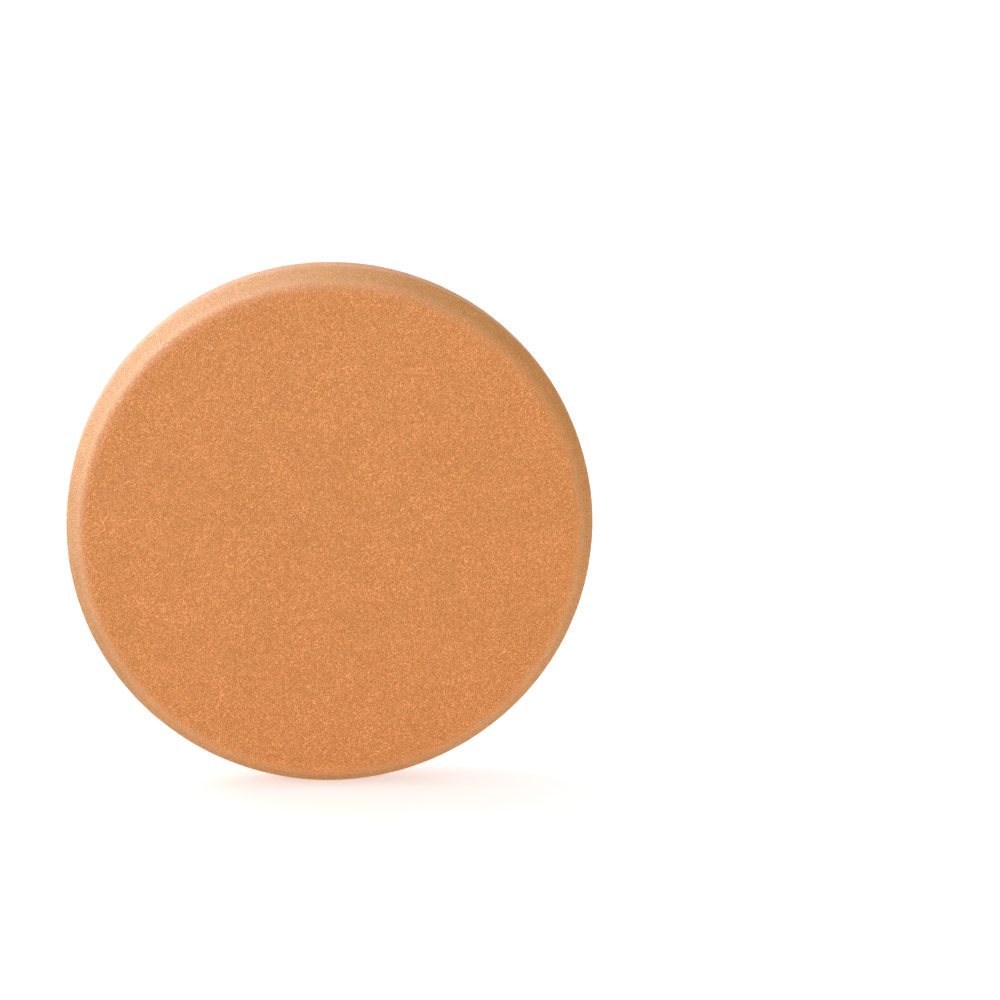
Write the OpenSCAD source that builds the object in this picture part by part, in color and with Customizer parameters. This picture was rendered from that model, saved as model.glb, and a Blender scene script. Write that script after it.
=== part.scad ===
// Foam polishing pad, 150 mm, with a hook-and-loop back.
// It stands on its rim: the axis runs along Y, the working face looks to -Y
// and the loop cloth to +Y. The origin is under the middle of the pad, on the
// surface that its rim stands on.

/* [Foam disc] */
// Diameter of the foam disc
foam_d = 150; // [135:1:200]
// Thickness of the foam, from the working face to the flat under the cloth
foam_t = 23; // [19:0.5:40]
// Width of the bevel around the working face
bevel_w = 4.5; // [2:0.5:8]
// Depth of that bevel along the axis
bevel_t = 7.5; // [3:0.5:9]
// Radius that softens both ends of the bevel
bevel_r = 3.5; // [1:0.5:4.5]
// Radius of the rim's back edge
rim_r = 1.5; // [0.5:0.25:3]
// Depth of the cove that falls from the cloth's flat to the rim
cove_t = 6.5; // [2:0.5:8]
// Where the cove turns from steep to shallow, as a share of its width
cove_turn = 0.4; // [0.2:0.05:0.8]

/* [Loop cloth] */
// Diameter of the loop cloth
loop_d = 127; // [110:1:130]
// Thickness of the adhesive film
film_t = 0.3; // [0.2:0.05:0.6]
// Thickness of the knitted ground
ground_t = 0.5; // [0.3:0.1:1]
// Height of the brushed loops above the ground
pile_t = 1.2; // [0.8:0.1:2.5]
// How far the film stops short of the cloth's edge
film_setback = 0.5; // [0.25:0.25:2]
// Width of foam that shows beside the cloth before the cove starts
foam_margin = 0.4; // [0.2:0.1:1]

/* [Hidden] */

$fn = 96;
ROUND_STEPS = 7;    // straight pieces in each rounded corner
COVE_STEPS = 12;    // straight pieces in the cove

foam_r = foam_d / 2;
flat_r = loop_d / 2 + foam_margin;      // edge of the flat under the cloth
pad_t = foam_t + film_t + ground_t + pile_t;

// Heights along the axis, up from the loops' tips to the working face
ground_z = pile_t;
film_z = ground_z + ground_t;
foam_z = film_z + film_t;
rim_z = foam_z + cove_t;

function unit(v) = v / norm(v);

// Points of a round of radius r in the corner at b, on the way from a to c
function rounded(a, b, c, r) =
    let (u = unit(a - b), v = unit(c - b))
    let (half = acos(u * v) / 2)
    let (centre = b + unit(u + v) * r / sin(half))
    let (from = b + u * r / tan(half) - centre)
    let (to = b + v * r / tan(half) - centre)
    let (start = atan2(from.y, from.x))
    let (turn = (atan2(to.y, to.x) - start + 540) % 360 - 180)
    [for (i = [0:ROUND_STEPS])
        centre + r * [cos(start + turn * i / ROUND_STEPS), sin(start + turn * i / ROUND_STEPS)]];

// Points of the cove from its foot at a to its head at b: steep at the head,
// and level with the rim's back at the foot
function cove(a, b) =
    let (bend = [b.x + cove_turn * (a.x - b.x), a.y])
    [for (i = [0:COVE_STEPS])
        let (t = i / COVE_STEPS)
        (1 - t) ^ 2 * a + 2 * t * (1 - t) * bend + t ^ 2 * b];

// Turns a half profile into a disc that stands on its rim
module upright_disc() {
    translate([0, pad_t / 2, foam_r])
        rotate([90, 0, 0])
            rotate_extrude()
                children();
}

module layer(r, z, t) {
    upright_disc()
        translate([0, z])
            square([r, t]);
}

// Half profile of the foam, from the axis out and round the rim
module foam_profile() {
    axis_top = [0, pad_t];
    face_edge = [foam_r - bevel_w, pad_t];
    bevel_end = [foam_r, pad_t - bevel_t];
    rim_edge = [foam_r, rim_z];
    cove_foot = [foam_r - rim_r, rim_z];
    cove_head = [flat_r, foam_z];
    polygon(concat(
        [[0, foam_z], axis_top],
        rounded(axis_top, face_edge, bevel_end, bevel_r),
        rounded(face_edge, bevel_end, rim_edge, bevel_r),
        rounded(bevel_end, rim_edge, cove_foot, rim_r),
        [for (i = [1:COVE_STEPS]) cove(cove_foot, cove_head)[i]]
    ));
}

// Open-cell polyurethane foam, cut and bevelled on a lathe
module foam_disc() {
    color("#dc8f57")
        upright_disc()
            foam_profile();
}

// Hot-melt film that bonds the cloth to the foam
module adhesive_film() {
    color("#e6d3ae")
        layer(loop_d / 2 - film_setback, film_z, film_t);
}

// Knitted ground of the loop cloth
module loop_ground() {
    color("#beb2ba")
        layer(loop_d / 2, ground_z, ground_t);
}

// Brushed loops that the hooks of a backing plate grip
module loop_pile() {
    color("#d0c5cc")
        layer(loop_d / 2, 0, pile_t);
}

foam_disc();
adhesive_film();
loop_ground();
loop_pile();
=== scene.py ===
"""Looks of a 150 mm foam polishing pad that stands on its rim: working face to -Y, loop cloth to +Y."""

import math
import random

import bmesh
import bpy
from mathutils import Matrix, Vector, noise


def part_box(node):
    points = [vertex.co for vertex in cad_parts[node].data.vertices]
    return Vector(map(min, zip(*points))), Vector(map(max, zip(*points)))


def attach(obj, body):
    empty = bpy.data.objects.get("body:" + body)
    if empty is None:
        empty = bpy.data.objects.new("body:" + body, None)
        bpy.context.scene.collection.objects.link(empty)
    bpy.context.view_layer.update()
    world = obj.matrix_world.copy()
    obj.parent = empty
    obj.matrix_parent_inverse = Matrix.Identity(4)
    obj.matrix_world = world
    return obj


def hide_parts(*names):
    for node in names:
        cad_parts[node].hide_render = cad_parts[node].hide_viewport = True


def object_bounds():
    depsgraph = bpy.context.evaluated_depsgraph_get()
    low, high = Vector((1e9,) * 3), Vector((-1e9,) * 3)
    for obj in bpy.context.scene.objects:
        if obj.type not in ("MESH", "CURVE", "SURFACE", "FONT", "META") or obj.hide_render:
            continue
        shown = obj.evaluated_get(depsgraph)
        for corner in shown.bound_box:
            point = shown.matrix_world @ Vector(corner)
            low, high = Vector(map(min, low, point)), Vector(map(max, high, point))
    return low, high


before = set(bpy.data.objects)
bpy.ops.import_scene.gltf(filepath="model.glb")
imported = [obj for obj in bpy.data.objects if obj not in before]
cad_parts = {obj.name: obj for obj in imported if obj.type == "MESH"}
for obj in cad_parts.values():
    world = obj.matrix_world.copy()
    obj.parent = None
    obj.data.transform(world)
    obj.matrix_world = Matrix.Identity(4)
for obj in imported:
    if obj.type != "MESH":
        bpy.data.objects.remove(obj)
cad_low, cad_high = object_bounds()


# ---------------------------------------------------------------------------
# Foam disc. Open-cell polyurethane foam, sawn from a block and turned on a
# lathe: a flat working face in a soft bevel, a short straight rim, and a cove
# on the back that falls away from the cloth. The cut opens the cells.

MM = 0.001
BEVEL_WIDTH = 4.5 * MM
BEVEL_DEPTH = 7.5 * MM
BEVEL_ROUND = 3.5 * MM
RIM_ROUND = 1.5 * MM
COVE_DEPTH = 6.5 * MM
COVE_TURN = 0.4             # where the cove turns from steep to shallow
COVE_STEPS = 16
FLAT_MARGIN = 0.4 * MM      # foam that shows beside the cloth
SAME_POINT = 0.01 * MM
FOAM_MESH = 0.45 * MM       # size of the foam's even mesh

foam_low, foam_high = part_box("foam_disc")
cloth_low, cloth_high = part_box("loop_ground")
axis_z = (foam_low.z + foam_high.z) / 2
foam_radius = (foam_high.x - foam_low.x) / 2
cloth_radius = (cloth_high.x - cloth_low.x) / 2
bevel_back = foam_low.y + BEVEL_DEPTH
rim_back = foam_high.y - COVE_DEPTH
side_start = foam_radius - 0.85 * BEVEL_WIDTH   # where the turned side starts

CELLS = 2900                # foam cells per metre
CLUMPS = 0.9 * CELLS        # clumps of dense foam per metre
# The bright spots are painted glints, where glossy struts would catch light
GLINT_SPOTS = 0.45 * CELLS       # spots per metre that may be bright
STRUT_EDGE = 0.17           # distance from the wall between two cells where a strut begins
STRUT_TOP = 0.03
STRUT_HEIGHT = 0.35
CLUMP_HEIGHT = 0.75
PATCHES = 70                # patches of the block's uneven tone per metre
PATCH_STRENGTH = 0.12
FUZZ_INSIDE = 2.8 * MM      # how far the fuzz reaches to the axis, and away from it
FUZZ_OUTSIDE = 2 * MM
FUZZ_STRENGTH = 0.22
CLOTH_EDGE_SHADE_STRENGTH = 0.7
# Foam colours from the bottom of a pit to the top of a strut, the darker pits being painted shade, then
# the colour of the painted glints
FOAM_SHADES = ((0.455, 0.125, 0.011), (0.67, 0.216, 0.034), (0.89, 0.37, 0.108))
GLINT_COLOUR = (1.0, 0.62, 0.33, 1)
PATCH_COLOUR = (0.52, 0.178, 0.036, 1)
# Multiplied into the turned side as painted shade
SIDE_PAINTED_SHADE = (0.89, 0.97, 0.64, 1)
FUZZ_COLOUR = (0.80, 0.41, 0.18, 1)
# Multiplied into the cove beside the cloth as painted shade
CLOTH_EDGE_PAINTED_SHADE = (0.90, 0.74, 0.50, 1)


def rounded_corner(before, corner, after, radius, steps):
    """Points of a round in a corner of a profile of (distance from the axis, y)."""
    back = (before - corner).normalized()
    on = (after - corner).normalized()
    half = back.angle(on) / 2
    centre = corner + (back + on).normalized() * radius / math.sin(half)
    first = corner + back * radius / math.tan(half) - centre
    last = corner + on * radius / math.tan(half) - centre
    turn = first.angle_signed(last)
    points = []
    for step in range(steps + 1):
        spoke = first.copy()
        spoke.rotate(Matrix.Rotation(-turn * step / steps, 2))
        points.append(centre + spoke)
    return points


def foam_profile():
    """The foam's half profile, from the middle of the face round to the flat under the cloth."""
    axis_face = Vector((0, foam_low.y))
    face_edge = Vector((foam_radius - BEVEL_WIDTH, foam_low.y))
    bevel_end = Vector((foam_radius, bevel_back))
    rim_edge = Vector((foam_radius, rim_back))
    foot = Vector((foam_radius - RIM_ROUND, rim_back))
    head = Vector((cloth_radius + FLAT_MARGIN, foam_high.y))
    bend = Vector((head.x + COVE_TURN * (foot.x - head.x), rim_back))
    points = [axis_face]
    points += rounded_corner(axis_face, face_edge, bevel_end, BEVEL_ROUND, steps=10)
    points += rounded_corner(face_edge, bevel_end, rim_edge, BEVEL_ROUND, steps=6)
    points += rounded_corner(bevel_end, rim_edge, foot, RIM_ROUND, steps=8)
    for step in range(1, COVE_STEPS + 1):
        t = step / COVE_STEPS
        points.append((1 - t) ** 2 * foot + 2 * t * (1 - t) * bend + t ** 2 * head)
    points.append(Vector((0, foam_high.y)))
    return points


def new_piece(name, bm):
    """Makes a bmesh a smooth-shaded object at the origin, and frees it."""
    for face in bm.faces:
        face.smooth = True
    mesh = bpy.data.meshes.new(name)
    bm.to_mesh(mesh)
    bm.free()
    piece = bpy.data.objects.new(name, mesh)
    bpy.context.scene.collection.objects.link(piece)
    return piece


def spun(profile, steps):
    """A closed solid of revolution about the pad's axis, as a bmesh."""
    bm = bmesh.new()
    verts = [bm.verts.new((p.x, p.y, axis_z)) for p in profile]
    edges = [bm.edges.new(pair) for pair in zip(verts, verts[1:])]
    bmesh.ops.spin(bm, geom=verts + edges, cent=(0, 0, axis_z), axis=(0, 1, 0),
                   angle=math.tau, steps=steps, use_merge=True)
    bmesh.ops.remove_doubles(bm, verts=bm.verts, dist=SAME_POINT)
    bmesh.ops.recalc_face_normals(bm, faces=bm.faces)
    return bm


def displace(piece, kind, size, strength, middle=0.5, group=""):
    """Moves a surface in and out with a texture whose features are size across."""
    texture = bpy.data.textures.new(f"{piece.name}_{kind.lower()}", kind)
    texture.noise_scale = size
    modifier = piece.modifiers.new(kind.lower(), "DISPLACE")
    modifier.texture = texture
    modifier.texture_coords = "LOCAL"
    modifier.strength = strength
    modifier.mid_level = middle
    modifier.vertex_group = group


def plug(tree, made, inputs):
    """Sets inputs of a node, each to its value or to the output that feeds it."""
    for key, value in inputs.items():
        if isinstance(value, bpy.types.NodeSocket):
            tree.links.new(value, made.inputs[key])
        else:
            made.inputs[key].default_value = value


def node(tree, kind, inputs=None, **settings):
    """Adds a node, with the inputs that plug takes."""
    made = tree.nodes.new(kind)
    for key, value in settings.items():
        setattr(made, key, value)
    plug(tree, made, inputs or {})
    return made


def maths(tree, operation, *values):
    """The result of a Math node whose inputs are these numbers or outputs."""
    made = node(tree, "ShaderNodeMath", dict(enumerate(values)), operation=operation)
    return made.outputs[0]


def times(tree, first, *others):
    """The product of masks and numbers."""
    product = first
    for other in others:
        product = maths(tree, "MULTIPLY", product, other)
    return product


def fade(tree, value, start, end):
    """A mask that runs smoothly from 0 where value is start to 1 where it is end."""
    made = node(tree, "ShaderNodeMapRange", {"Value": value, "From Min": start, "From Max": end},
                interpolation_type="SMOOTHSTEP")
    return made.outputs["Result"]


def tint(tree, mask, colour, under):
    """Lays a colour over another one where the mask is 1."""
    made = node(tree, "ShaderNodeMix", {0: mask, 6: under, 7: colour}, data_type="RGBA")
    return made.outputs[2]


def paint_shade(tree, mask, colour, under):
    """Multiplies a colour into the one under it where the mask is 1, to paint shade."""
    made = node(tree, "ShaderNodeMix", {0: mask, 6: under, 7: colour}, data_type="RGBA",
                blend_type="MULTIPLY")
    return made.outputs[2]


def shades(tree, mask, *colours):
    """A colour that runs through these, evenly spaced, as the mask goes from 0 to 1."""
    made = node(tree, "ShaderNodeValToRGB", {"Fac": mask})
    ramp = made.color_ramp
    while len(ramp.elements) < len(colours):
        ramp.elements.new(0.5)
    for number, colour in enumerate(colours):
        ramp.elements[number].position = number / (len(colours) - 1)
        ramp.elements[number].color = (*colour, 1)
    return made.outputs["Color"]


def cloudy(tree, place, scale, detail, roughness=0.5, distortion=0.0):
    """The value of a noise texture."""
    made = node(tree, "ShaderNodeTexNoise", {"Vector": place, "Scale": scale, "Detail": detail,
                "Roughness": roughness, "Distortion": distortion})
    return made.outputs["Fac"]


def cellular(tree, place, scale, feature="F1"):
    """The outputs of a Voronoi texture."""
    made = node(tree, "ShaderNodeTexVoronoi", {"Vector": place, "Scale": scale}, feature=feature)
    return made.outputs


def relief(tree, height, strength, distance):
    """The normal of a bump."""
    made = node(tree, "ShaderNodeBump", {"Height": height, "Strength": strength, "Distance": distance})
    return made.outputs["Normal"]


def new_material(name):
    """A material with its tree, its shader and its Object coordinates."""
    material = bpy.data.materials.new(name)
    material.use_nodes = True
    tree = material.node_tree
    place = node(tree, "ShaderNodeTexCoord")
    return material, tree, tree.nodes["Principled BSDF"], place.outputs["Object"]


def off_axis(tree, place):
    """Distance of a point from the pad's axis."""
    flat = node(tree, "ShaderNodeMapping", {"Vector": place, "Location": (0, 0, -axis_z),
                "Scale": (1, 0, 1)})
    length = node(tree, "ShaderNodeVectorMath", {0: flat.outputs["Vector"]}, operation="LENGTH")
    return length.outputs["Value"]


def cut_cells(tree, place):
    """The colour, height and struts of cut foam: pits painted darker as shade, in a net of struts, some of
    them with painted glints.
    """
    pits = cellular(tree, place, CELLS)["Distance"]
    walls = cellular(tree, place, CELLS, "DISTANCE_TO_EDGE")["Distance"]
    clumps = cloudy(tree, place, CLUMPS, 3)
    struts = fade(tree, walls, STRUT_EDGE, STRUT_TOP)
    mixed = node(tree, "ShaderNodeMix", {0: 0.5, 2: pits, 3: clumps}, data_type="FLOAT").outputs[0]
    height = times(tree, fade(tree, mixed, 0.30, 0.70), CLUMP_HEIGHT)
    height = maths(tree, "MULTIPLY_ADD", struts, STRUT_HEIGHT, height)
    glints = cellular(tree, place, GLINT_SPOTS)
    chosen = node(tree, "ShaderNodeSeparateColor", {"Color": glints["Color"]}).outputs["Red"]
    # Painted glints: some strut tops are made brighter, as if catching light
    bright = times(tree, fade(tree, glints["Distance"], 0.32, 0.16), fade(tree, chosen, 0.78, 0.9), struts)
    # The colour follows the height, so the pits carry painted shade
    colour = tint(tree, times(tree, bright, 0.9), GLINT_COLOUR, shades(tree, height, *FOAM_SHADES))
    return colour, height, struts


def side_tones(tree, place, colour):
    """Paints shade on the turned side as a yellower tone, paler where it starts, adds a paler line of
    fuzz, and paints shade on the foam beside the cloth.
    """
    radius = off_axis(tree, place)
    depth = node(tree, "ShaderNodeSeparateXYZ", {"Vector": place}).outputs["Y"]
    front = fade(tree, depth, rim_back + 2 * MM, bevel_back - MM)
    turned = fade(tree, radius, side_start - 0.8 * MM, side_start + 1.2 * MM)
    # Painted shade: the turned side is made darker and yellower all round
    colour = paint_shade(tree, times(tree, turned, front), SIDE_PAINTED_SHADE, colour)
    fuzz_in = fade(tree, radius, side_start - FUZZ_INSIDE, side_start)
    fuzz_out = fade(tree, radius, side_start + FUZZ_OUTSIDE, side_start)
    fuzz = times(tree, fuzz_in, fuzz_out, front, FUZZ_STRENGTH)
    colour = tint(tree, fuzz, FUZZ_COLOUR, colour)
    by_cloth = fade(tree, radius, cloth_radius + 6 * MM, cloth_radius + 2.5 * MM)
    behind = fade(tree, depth, rim_back - 2 * MM, rim_back + 2 * MM)
    # Painted shade: the foam in the cove beside the cloth is made darker and browner
    return paint_shade(tree, times(tree, by_cloth, behind, CLOTH_EDGE_SHADE_STRENGTH), CLOTH_EDGE_PAINTED_SHADE, colour)


def foam_material():
    material, tree, shader, place = new_material("orange_foam")
    colour, height, struts = cut_cells(tree, place)
    patches = fade(tree, cloudy(tree, place, PATCHES, 2), 0.4, 0.7)
    colour = tint(tree, times(tree, patches, PATCH_STRENGTH), PATCH_COLOUR, colour)
    plug(tree, shader, {
        "Base Color": side_tones(tree, place, colour),
        "Roughness": maths(tree, "MULTIPLY_ADD", struts, -0.2, 0.6),    # struts shine a little
        "Normal": relief(tree, height, strength=0.8, distance=0.2 * MM),
        "Specular IOR Level": 0.4,
        "Sheen Weight": 0.05,
        "Sheen Roughness": 0.35,
        "Sheen Tint": (1.0, 0.88, 0.76, 1),
    })
    return material


foam = new_piece("foam_pad", spun(foam_profile(), 240))
remesh = foam.modifiers.new("even_mesh", "REMESH")
remesh.mode = "VOXEL"
remesh.voxel_size = FOAM_MESH
remesh.use_smooth_shade = True
displace(foam, "CLOUDS", size=9 * MM, strength=0.12 * MM)
displace(foam, "VORONOI", size=1.2 * MM, strength=0.07 * MM, middle=0.6)
foam.data.materials.append(foam_material())
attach(foam, "root")
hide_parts("foam_disc")


# ---------------------------------------------------------------------------
# Adhesive film. A hot-melt film, amber and slightly glossy, that bonds the
# cloth to the foam. It stops short of the cloth, so only a shadow line shows.

STREAKS = 900               # streaks in the film per metre
FILM_SHADES = ((0.55, 0.36, 0.16), (0.78, 0.6, 0.36))


def film_material():
    material, tree, shader, place = new_material("amber_film")
    streaks = cloudy(tree, place, STREAKS, 4)
    plug(tree, shader, {
        "Base Color": shades(tree, fade(tree, streaks, 0.35, 0.65), *FILM_SHADES),
        "Normal": relief(tree, streaks, strength=0.4, distance=0.05 * MM),
        "Roughness": 0.3,
    })
    return material


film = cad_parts["adhesive_film"]
film.data.materials.clear()
film.data.materials.append(film_material())


# ---------------------------------------------------------------------------
# Knitted ground of the loop cloth. A warp-knitted polyester fabric, punched
# out as a disc with its pile and bonded to the foam. Only its cut edge shows.

STITCH = 0.55 * MM          # width of a knitted stitch
KNIT_SHADES = ((0.36, 0.28, 0.32), (0.62, 0.53, 0.57))
SLOW_WAVE = 2.4 * MM        # size of the punched edge's long waves
QUICK_WAVE = 0.9 * MM
SLOW_SWING = 0.22 * MM      # how far those waves stand out
QUICK_SWING = 0.16 * MM


def punched(angle):
    """How far the cloth's cut edge stands out, or in, at an angle about the axis."""
    spoke = Vector((math.cos(angle), math.sin(angle), 0))
    slow = noise.noise(spoke * cloth_radius / SLOW_WAVE)
    quick = noise.noise(spoke * cloth_radius / QUICK_WAVE)
    return SLOW_SWING * slow + QUICK_SWING * quick


def move_edge(vert, inset=0.0):
    """Puts a vertex on the punched edge, or inset from it."""
    x, z = vert.co.x, vert.co.z - axis_z
    angle = math.atan2(z, x)
    radius = cloth_radius - inset + punched(angle)
    vert.co.x = radius * math.cos(angle)
    vert.co.z = axis_z + radius * math.sin(angle)


def ground_material():
    material, tree, shader, place = new_material("lilac_knit")
    rows = node(tree, "ShaderNodeTexWave", {"Vector": place, "Scale": 1 / (6.28 * STITCH),
                "Distortion": 2.0, "Detail": 2, "Detail Scale": 3}, bands_direction="DIAGONAL")
    rows = rows.outputs["Fac"]
    plug(tree, shader, {
        "Base Color": shades(tree, rows, *KNIT_SHADES),
        "Normal": relief(tree, rows, strength=0.8, distance=0.15 * MM),
        "Roughness": 0.85,
    })
    return material


ground_bm = spun([
    Vector((0, cloth_low.y)),
    Vector((cloth_radius, cloth_low.y)),
    Vector((cloth_radius, cloth_high.y)),
    Vector((0, cloth_high.y)),
], 720)
for vert in ground_bm.verts:
    if math.hypot(vert.co.x, vert.co.z - axis_z) > cloth_radius / 2:
        move_edge(vert)
ground = new_piece("loop_cloth", ground_bm)
ground.data.materials.append(ground_material())
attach(ground, "root")
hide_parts("loop_ground")


# ---------------------------------------------------------------------------
# Brushed loops. Polyester filament loops, brushed over until they lie like
# felt, that the hooks of a backing plate grip. Red marks and a violet stamp
# are printed on them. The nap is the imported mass, and single loops stand off it.

NAP_SPACING = 0.42 * MM
NAP_BELOW_TIPS = 0.3 * MM   # how far single loops stand off the nap
NAP_SHOULDER = 0.35 * MM    # how far the punch presses the nap's edge down
NAP_ROUND = 0.1 * MM        # how far the nap drops before that edge
FELT = 1900                 # clumps of loops per metre
THREAD = 0.035 * MM         # radius of a loop's thread
LOOP_COUNT = 4200
LOOP_ROOT = 0.25 * MM       # how deep a loop's ends are buried
LOOP_LEAN = 0.3             # this and the next two in mm
LOOP_WIDE = (0.35, 0.65)
LOOP_HIGH = (0.12, 0.38)
LOOP_BENDS = ((-0.7, 0.6, 0.75), (0, 1, 1), (0.7, 0.6, 0.7))    # shares along, of lean and of height
HAIR_COUNT = 800            # loops that stick out of the cut edge
HAIR_OUT = (0.45, 0.85)     # this and the next in mm
HAIR_BEND = 0.5
HAIR_BENDS = ((0.6, 0.3), (1, 1), (0.8, 1.7), (0.3, 2.0))       # shares out, and of bend

MARK_LENGTH = 17.4 * MM
MARK_WIDTH = 9.4 * MM
MARK_PITCH = 55.2 * MM      # from mark to mark along a row
ROW_PITCH = 25.8 * MM
ROW_SHIFT = 16.4 * MM       # how far every other row is shifted
FIRST_MARK = (15.2 * MM, 8.4 * MM)
PRINT_TURN = math.radians(3)
DOT_PITCH = 4.4 * MM        # from bare dot to bare dot in a mark
DOT_RADIUS = 1.3 * MM
SOFT_EDGE = 0.45 * MM
BLEED = 0.8 * MM            # how far the ink creeps along the loops
BLEED_GRAIN = 1300
STAMP_DOT = 0.72 * MM       # pitch of the violet stamp's dots
STAMP_CORNER = (-9.5 * MM, -35.4 * MM)
STAMP_ACROSS = (13, 7, 6)   # dots in all, in each group, and inked in each group
STAMP_UP = (87, 5, 2)

# Colours from the felt's hollows to its tops; the spread is partly the loops' own tone and partly painted
# light and shade
LOOP_SHADES = ((0.40, 0.300, 0.345), (0.54, 0.435, 0.478), (0.70, 0.61, 0.65))
RED_SHADES = ((0.42, 0.012, 0.001), (0.66, 0.032, 0.003))
STAMP_COLOUR = (0.20, 0.14, 0.31, 1)

pile_low, pile_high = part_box("loop_pile")
nap_top = pile_high.y - NAP_BELOW_TIPS


def nap_mesh():
    """A disc of even quads that closes down to the ground at its punched edge."""
    across = math.ceil(2 * cloth_radius / NAP_SPACING)
    facing_back = Matrix.Translation((0, nap_top, axis_z)) @ Matrix.Rotation(-math.pi / 2, 4, "X")
    bm = bmesh.new()
    bmesh.ops.create_grid(bm, x_segments=across, y_segments=across, size=across * NAP_SPACING / 2,
                          matrix=facing_back)
    limit = cloth_radius - 0.9 * NAP_SPACING
    outside = [vert for vert in bm.verts if math.hypot(vert.co.x, vert.co.z - axis_z) > limit]
    bmesh.ops.delete(bm, geom=outside, context="VERTS")
    edge = [e for e in bm.edges if e.is_boundary]
    rim = {v for e in edge for v in e.verts}
    bm.verts.index_update()
    inner = [vert.index for vert in bm.verts if vert not in rim]
    for vert in rim:
        move_edge(vert, inset=NAP_SHOULDER)
        vert.co.y -= NAP_ROUND
    for y in (nap_top - NAP_SHOULDER, pile_low.y):
        made = bmesh.ops.extrude_edge_only(bm, edges=edge)["geom"]
        edge = [e for e in made if isinstance(e, bmesh.types.BMEdge) and e.is_boundary]
        for vert in {v for e in edge for v in e.verts}:
            move_edge(vert)
            vert.co.y = y
    bmesh.ops.edgeloop_fill(bm, edges=edge)
    bmesh.ops.recalc_face_normals(bm, faces=bm.faces)
    return bm, inner


def length(tree, x, y):
    both = node(tree, "ShaderNodeCombineXYZ", {"X": x, "Y": y}).outputs["Vector"]
    return node(tree, "ShaderNodeVectorMath", {0: both}, operation="LENGTH").outputs["Value"]


def on_cloth(tree, place, turn):
    """Distances to the right as seen from behind, and up, from the axis."""
    centred = node(tree, "ShaderNodeMapping", {"Vector": place, "Location": (0, 0, -axis_z)})
    turned = node(tree, "ShaderNodeMapping", {"Vector": centred.outputs["Vector"],
                  "Rotation": (0, turn, 0)})
    split = node(tree, "ShaderNodeSeparateXYZ", {"Vector": turned.outputs["Vector"]})
    return times(tree, split.outputs["X"], -1), split.outputs["Z"]


def mark_mask(tree, place):
    """Rows of round-ended marks, each with three bare dots."""
    bleed = maths(tree, "MULTIPLY_ADD", cloudy(tree, place, BLEED_GRAIN, 2), 2 * BLEED, -BLEED)
    right, up = on_cloth(tree, place, PRINT_TURN)
    up = maths(tree, "SUBTRACT", up, FIRST_MARK[1])
    row = maths(tree, "ROUND", maths(tree, "DIVIDE", up, ROW_PITCH))
    up = maths(tree, "SUBTRACT", up, times(tree, row, ROW_PITCH))
    odd = maths(tree, "FLOORED_MODULO", row, 2)
    shift = maths(tree, "MULTIPLY_ADD", odd, ROW_SHIFT, FIRST_MARK[0])
    along = maths(tree, "WRAP", maths(tree, "SUBTRACT", right, shift), MARK_PITCH / 2, -MARK_PITCH / 2)
    along = maths(tree, "ABSOLUTE", along)
    past_middle = maths(tree, "SUBTRACT", along, (MARK_LENGTH - MARK_WIDTH) / 2)
    off_mark = length(tree, maths(tree, "MAXIMUM", past_middle, 0), up)
    filled = fade(tree, maths(tree, "ADD", off_mark, bleed),
                  MARK_WIDTH / 2 + SOFT_EDGE, MARK_WIDTH / 2 - SOFT_EDGE)
    nearest = maths(tree, "PINGPONG", maths(tree, "MINIMUM", along, 1.5 * DOT_PITCH), DOT_PITCH / 2)
    off_dot = maths(tree, "ADD", length(tree, nearest, up), times(tree, bleed, 0.6))
    bare = fade(tree, off_dot, DOT_RADIUS - 0.6 * SOFT_EDGE, DOT_RADIUS + 0.6 * SOFT_EDGE)
    return times(tree, filled, bare)


def stamp_mask(tree, place):
    """Two columns of ticks, each tick two rows of ink-jet dots."""
    right, up = on_cloth(tree, place, 0)
    right = maths(tree, "DIVIDE", maths(tree, "SUBTRACT", right, STAMP_CORNER[0]), STAMP_DOT)
    up = maths(tree, "DIVIDE", maths(tree, "SUBTRACT", up, STAMP_CORNER[1]), STAMP_DOT)
    off_dot = length(tree, maths(tree, "SUBTRACT", maths(tree, "FRACT", right), 0.5),
                     maths(tree, "SUBTRACT", maths(tree, "FRACT", up), 0.5))
    stamp = fade(tree, off_dot, 0.62, 0.3)
    for dots, (count, group, inked) in ((right, STAMP_ACROSS), (up, STAMP_UP)):
        in_group = maths(tree, "LESS_THAN", maths(tree, "FLOORED_MODULO", dots, group), inked)
        in_stamp = maths(tree, "COMPARE", dots, count / 2, count / 2)
        stamp = times(tree, stamp, in_group, in_stamp)
    return stamp


def loop_material():
    material, tree, shader, place = new_material("lilac_loops")
    felt = cloudy(tree, place, FELT, 5, roughness=0.7, distortion=1.0)
    # The felt's clumps vary the loops' tone and, following the bump, are lighter on top as painted light
    # and darker in hollows as painted shade
    felt_light_and_shade = fade(tree, felt, 0.3, 0.7)
    colour = shades(tree, felt_light_and_shade, *LOOP_SHADES)
    colour = tint(tree, times(tree, stamp_mask(tree, place), 0.6), STAMP_COLOUR, colour)
    colour = tint(tree, mark_mask(tree, place), shades(tree, felt_light_and_shade, *RED_SHADES), colour)
    plug(tree, shader, {
        "Base Color": colour,
        "Normal": relief(tree, felt, strength=0.7, distance=0.25 * MM),
        "Roughness": 0.85,
        "Specular IOR Level": 0.2,
        "Sheen Weight": 0.1,
        "Sheen Roughness": 0.5,
    })
    return material


def add_thread(curve, points):
    spline = curve.splines.new("POLY")
    spline.points.add(len(points) - 1)
    for place, point in zip(points, spline.points):
        point.co = (*place, 1)


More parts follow.
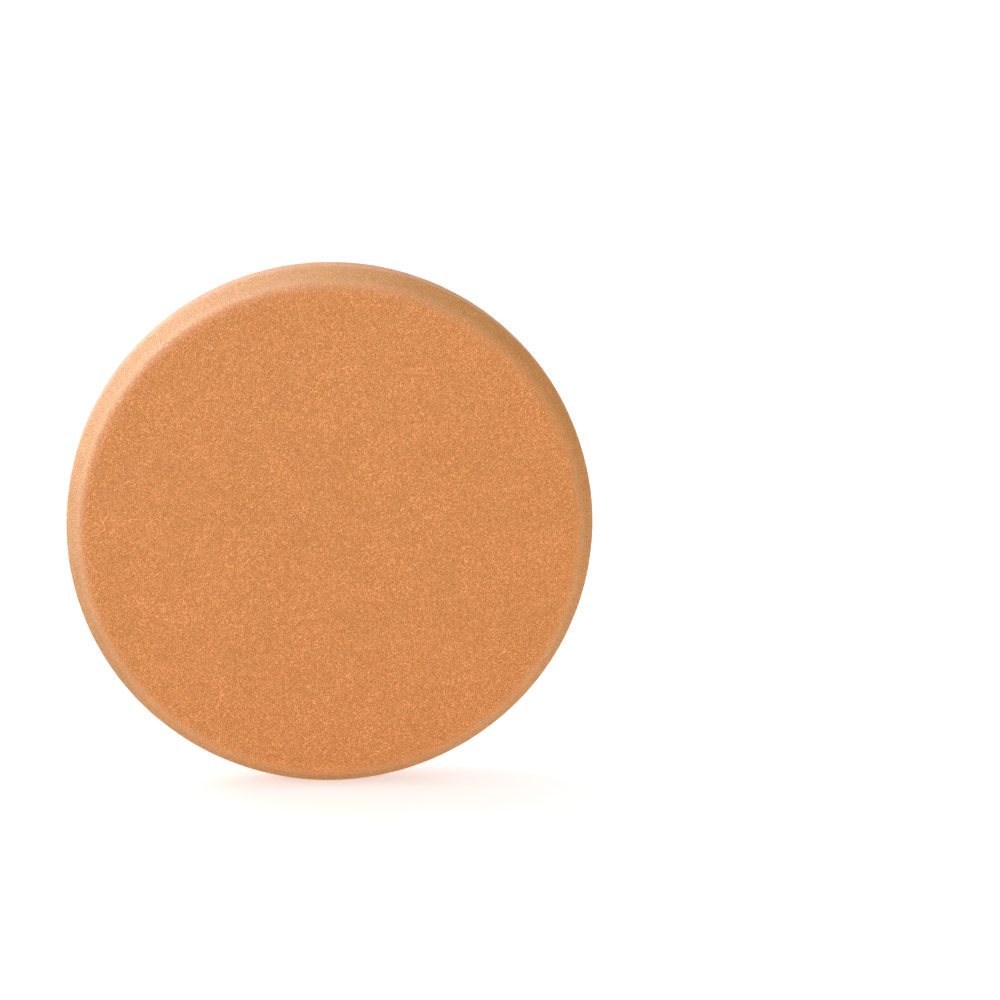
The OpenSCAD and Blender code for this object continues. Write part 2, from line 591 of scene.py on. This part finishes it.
def add_loops(curve, rng):
    """Single loops that stand off the nap."""
    golden_turn = math.pi * (3 - math.sqrt(5))
    outermost = cloth_radius - 0.6 * MM
    buried = Vector((0, -LOOP_ROOT, 0))
    for number in range(LOOP_COUNT):
        reach = outermost * math.sqrt((number + rng.random()) / LOOP_COUNT)
        angle = number * golden_turn + rng.uniform(-0.5, 0.5) * MM / max(reach, MM)
        root = Vector((reach * math.cos(angle), nap_top, axis_z + reach * math.sin(angle)))
        heading = rng.uniform(0, math.tau)
        along = Vector((math.cos(heading), 0, math.sin(heading)))
        lean = Vector((rng.uniform(-LOOP_LEAN, LOOP_LEAN), 0, rng.uniform(-LOOP_LEAN, LOOP_LEAN))) * MM
        wide = rng.uniform(*LOOP_WIDE) * MM
        high = Vector((0, rng.uniform(*LOOP_HIGH) * MM, 0))
        bends = [root + along * wide * a + lean * b + high * c for a, b, c in LOOP_BENDS]
        add_thread(curve, [root - along * wide + buried, *bends, root + along * wide + buried])


def add_hairs(curve, rng):
    """Loops that stick out of the cloth's cut edge."""
    for number in range(HAIR_COUNT):
        angle = (number + rng.random()) / HAIR_COUNT * math.tau
        out = Vector((math.cos(angle), 0, math.sin(angle)))
        round_rim = Vector((-math.sin(angle), 0, math.cos(angle)))
        inside = cloth_radius + punched(angle) - 0.3 * MM
        depth = rng.uniform(pile_low.y + 0.1 * MM, nap_top - 0.2 * MM)
        root = out * inside + Vector((0, depth, axis_z))
        far = rng.uniform(*HAIR_OUT) * MM
        bend = rng.uniform(-HAIR_BEND, HAIR_BEND) * MM
        add_thread(curve, [root, *(root + out * far * a + round_rim * bend * b for a, b in HAIR_BENDS)])


nap_bm, nap_inner = nap_mesh()
nap = new_piece("loop_nap", nap_bm)
nap.vertex_groups.new(name="top").add(nap_inner, 1.0, "REPLACE")
displace(nap, "CLOUDS", size=0.8 * MM, strength=0.28 * MM, group="top")
displace(nap, "STUCCI", size=1.6 * MM, strength=0.12 * MM, group="top")

thread_curve = bpy.data.curves.new("loop_threads", "CURVE")
thread_curve.dimensions = "3D"
thread_curve.bevel_depth = THREAD
thread_curve.bevel_resolution = 0
thread_curve.use_fill_caps = True
rng = random.Random(7)
add_loops(thread_curve, rng)
add_hairs(thread_curve, rng)
threads = bpy.data.objects.new("loop_threads", thread_curve)
bpy.context.scene.collection.objects.link(threads)

loops = loop_material()
for piece in (nap, threads):
    piece.data.materials.append(loops)
    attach(piece, "root")
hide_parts("loop_pile")


# ---------------------------------------------------------------------------
# Floor, light and camera. A plain white table, lit a little from within as a
# product photographer's is, a white surround that is brightest at the horizon,
# a soft key, fills before and behind, a rim light, and two lights for gloss alone.

FLOOR_REACH = 6
HORIZON_LIGHT = 1.05
SKY_LIGHT = 0.46
HORIZON_TOP = 0.08          # height, as a share of the way up, where the horizon's light starts to fade
SKY_BOTTOM = 0.3            # and where it has faded

bpy.context.scene.view_settings.view_transform = "Standard"
floor_bm = bmesh.new()
bmesh.ops.create_grid(floor_bm, x_segments=1, y_segments=1, size=FLOOR_REACH)
floor = new_piece("floor", floor_bm)
floor_material, floor_tree, floor_shader, _ = new_material("pale_floor")
plug(floor_tree, floor_shader, {
    "Base Color": (0.72, 0.72, 0.72, 1),
    "Roughness": 0.9,
    "Specular IOR Level": 0.1,
    "Emission Color": (1, 1, 1, 1),
    "Emission Strength": 0.5,
})
floor.data.materials.append(floor_material)

world = bpy.data.worlds.new("studio")
world.use_nodes = True
sky = world.node_tree
up = node(sky, "ShaderNodeSeparateXYZ", {"Vector": node(sky, "ShaderNodeTexCoord").outputs["Generated"]})
glow = node(sky, "ShaderNodeMapRange", {"Value": up.outputs["Z"], "From Min": HORIZON_TOP,
            "From Max": SKY_BOTTOM, "To Min": HORIZON_LIGHT, "To Max": SKY_LIGHT})
plug(sky, sky.nodes["Background"], {"Color": (1, 1, 1, 1), "Strength": glow.outputs["Result"]})
bpy.context.scene.world = world


def new_light(name, kind, energy, place, shines):
    """Adds a light that shines in that direction."""
    light = bpy.data.lights.new(name, kind)
    light.energy = energy
    lamp = bpy.data.objects.new(name, light)
    lamp.location = place
    lamp.rotation_euler = Vector(shines).to_track_quat("-Z", "Y").to_euler()
    bpy.context.scene.collection.objects.link(lamp)
    return lamp


def soft_sun(name, toward, strength, spread):
    """A broad far light that shines from that direction."""
    lamp = new_light(name, "SUN", strength, Vector(toward) * 2, -Vector(toward))
    lamp.data.angle = math.radians(spread)
    return lamp


soft_sun("key", (-0.40, -0.60, 0.70), strength=0.22, spread=30)
soft_sun("fill", (0.25, -0.95, 0.18), strength=1.05, spread=50)
soft_sun("back_fill", (-0.35, 0.88, 0.32), strength=0.43, spread=50)
soft_sun("rim_top", (-0.48, 0.24, 0.84), strength=0.85, spread=40)
gloss = soft_sun("gloss", (-0.68, 0.33, 0.65), strength=13, spread=76)
gloss.visible_diffuse = False

# A near light that adds gloss alone, most of it to the upper left of the face
haze = new_light("haze", "AREA", 3.2, place=(-0.22, -0.30, 0.32), shines=(0.18, 0.30, -0.20))
haze.data.size = 0.25
haze.visible_diffuse = False

CAMERA_AZIMUTH = math.radians(-3.5)
CAMERA_ELEVATION = math.radians(12)
CAMERA_DISTANCE = 1.3
PAD_IN_PICTURE = 0.5245     # the pad's width as a share of the picture's
PAD_LEFT = 0.170            # how far the pad's middle is left of the picture's, as the same share
PAD_DOWN = 0.0225

camera_data = bpy.data.cameras.new("camera")
camera = bpy.data.objects.new("camera", camera_data)
bpy.context.scene.collection.objects.link(camera)
bpy.context.scene.camera = camera
picture_width = 2 * foam_radius / PAD_IN_PICTURE
camera_data.sensor_width = 36
camera_data.lens = camera_data.sensor_width * CAMERA_DISTANCE / picture_width
camera_data.clip_start = 0.05
camera_data.clip_end = 50
back = Vector((math.sin(CAMERA_AZIMUTH) * math.cos(CAMERA_ELEVATION),
               -math.cos(CAMERA_AZIMUTH) * math.cos(CAMERA_ELEVATION),
               math.sin(CAMERA_ELEVATION)))
turn = (-back).to_track_quat("-Z", "Y")
camera.rotation_mode = "QUATERNION"
camera.rotation_quaternion = turn
pad_middle = (cad_low + cad_high) / 2
aim = pad_middle + turn @ Vector((PAD_LEFT * picture_width, PAD_DOWN * picture_width, 0))
camera.location = aim + back * CAMERA_DISTANCE
